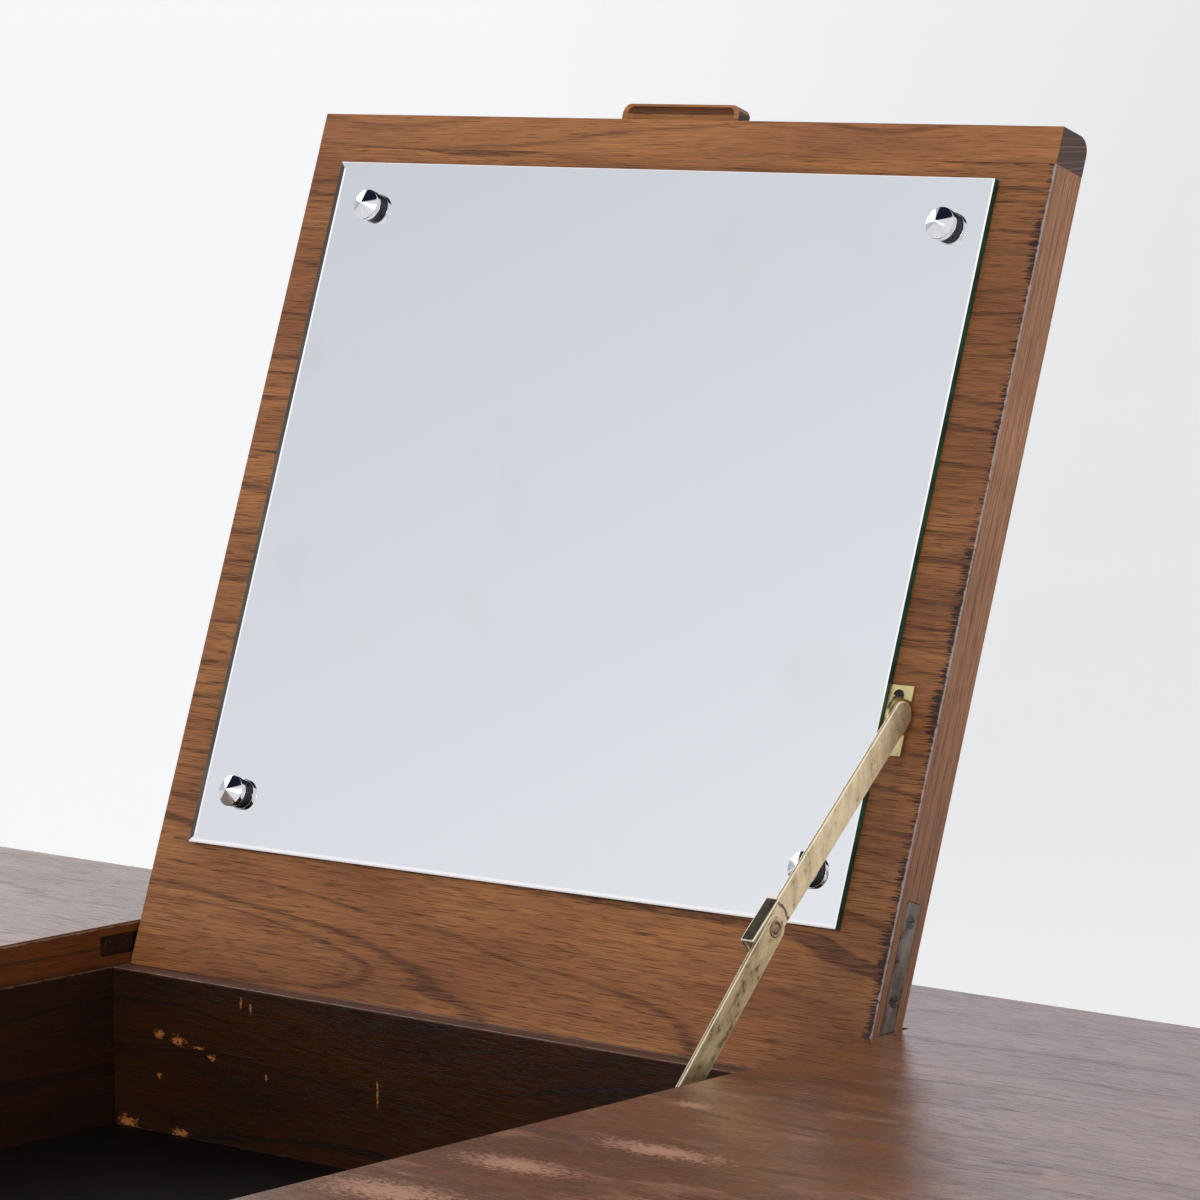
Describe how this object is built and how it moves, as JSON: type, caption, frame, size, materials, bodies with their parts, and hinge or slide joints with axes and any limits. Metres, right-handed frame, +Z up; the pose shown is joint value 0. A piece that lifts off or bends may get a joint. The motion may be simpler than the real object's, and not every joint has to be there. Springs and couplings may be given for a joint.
{
  "type": "vanity table with mirror",
  "caption": "Dressing table with a mirrored flip-up lid over a central well, drawers in both wings, turned legs and a folding brass stay.",
  "frame": {"origin": "bottom centre of the bounding box, on the floor, with the lid open", "axes": "+X to the right across the width, +Y from front to back, +Z up"},
  "size_m": [1.24, 0.6361, 1.1674],
  "materials": {
    "top_veneer_wood": "satin, oiled and darkened with age",
    "underside_veneer_wood": "satin, warm brown with fine dark pores",
    "blockboard_core": "sawn, hidden",
    "lipping_wood": "satin, grain along its length",
    "well_wood": "dark stain, worn at corners",
    "well_floor_wood": "dark stain, dull",
    "case_wood": "satin, oiled",
    "leg_wood": "satin, oiled and turned",
    "glide_plastic": "matt black",
    "plywood": "sanded, unfinished",
    "drawer_box_wood": "sanded, clear finish",
    "hinge_steel": "dark worn steel",
    "pin_steel": "turned",
    "screw_steel": "dull, slotted",
    "stay_brass": "aged satin brass",
    "rivet_brass": "worn, tarnished",
    "mirror_glass": "silvered float glass with ground edges",
    "washer_rubber": "black, satin",
    "cap_chrome": "polished"
  },
  "bodies": {
    "table": {"top_veneer": "top_veneer_wood", "top_core": "blockboard_core", "left_opening_lipping": "lipping_wood", "right_opening_lipping": "lipping_wood", "left_front_lipping": "lipping_wood", "right_front_lipping": "lipping_wood", "left_end_lipping": "lipping_wood", "right_end_lipping": "lipping_wood", "rear_lipping": "lipping_wood", "left_well_side": "well_wood", "right_well_side": "well_wood", "well_back": "well_wood", "well_floor": "well_floor_wood", "front_rail": "case_wood", "left_end_apron": "case_wood", "right_end_apron": "case_wood", "back_apron": "case_wood", "front_left_leg": "leg_wood", "front_right_leg": "leg_wood", "rear_left_leg": "leg_wood", "rear_right_leg": "leg_wood", "foot_glides": "glide_plastic", "left_drawer_bed": "plywood", "right_drawer_bed": "plywood", "drawer_guides": "drawer_box_wood", "left_fixed_hinge_leaf": "hinge_steel", "right_fixed_hinge_leaf": "hinge_steel", "hinge_pins": "pin_steel", "table_wood_screws": "screw_steel", "stay_wall_plate": "stay_brass"},
    "lid": {"lid_outer_veneer": "top_veneer_wood", "lid_core": "blockboard_core", "lid_front_lipping": "lipping_wood", "lid_rear_lipping": "lipping_wood", "lid_left_lipping": "lipping_wood", "lid_right_lipping": "lipping_wood", "lid_underside_veneer": "underside_veneer_wood", "left_lid_hinge_leaf": "hinge_steel", "right_lid_hinge_leaf": "hinge_steel", "lid_wood_screws": "screw_steel", "mirror_screws": "screw_steel", "stay_lid_bracket": "stay_brass", "stay_top_rivet": "rivet_brass", "mirror_glass": "mirror_glass", "mirror_washers": "washer_rubber", "mirror_caps": "cap_chrome"},
    "stay_upper": {"stay_upper_arm": "stay_brass"},
    "stay_lower": {"stay_lower_arm": "stay_brass", "stay_knee_rivet": "rivet_brass", "stay_foot_rivet": "rivet_brass"},
    "left_drawer": {"left_drawer_front": "case_wood", "left_drawer_knob": "case_wood", "left_drawer_bottom": "plywood", "left_drawer_sides": "drawer_box_wood", "left_drawer_back": "drawer_box_wood"},
    "right_drawer": {"right_drawer_front": "case_wood", "right_drawer_knob": "case_wood", "right_drawer_bottom": "plywood", "right_drawer_sides": "drawer_box_wood", "right_drawer_back": "drawer_box_wood"}
  },
  "joints": [
    {"name": "lid_hinge", "type": "hinge", "parent": "table", "child": "lid", "pos_m": [0, 0.15394, 0.71865], "axis": [1, 0, 0], "range_deg": [0, 109.6]},
    {"name": "stay_top_pivot", "type": "hinge", "parent": "lid", "child": "stay_upper", "pos_m": [0.2342, 0.18945, 0.87903], "axis": [1, 0, 0], "range_deg": [-145.16, 1]},
    {"name": "stay_knee_pivot", "type": "hinge", "parent": "stay_upper", "child": "stay_lower", "pos_m": [0.2365, 0.08889, 0.78896], "axis": [1, 0, 0], "range_deg": [-1, 173.43]},
    {"name": "left_drawer_slide", "type": "slide", "parent": "table", "child": "left_drawer", "axis": [0, -1, 0], "range_m": [0, 0.3]},
    {"name": "right_drawer_slide", "type": "slide", "parent": "table", "child": "right_drawer", "axis": [0, -1, 0], "range_m": [0, 0.3]}
  ],
  "couplings": [
    {"joint": "stay_top_pivot", "follows": "lid_hinge", "ratio": -1.3154},
    {"joint": "stay_knee_pivot", "follows": "lid_hinge", "ratio": 1.5733}
  ]
}
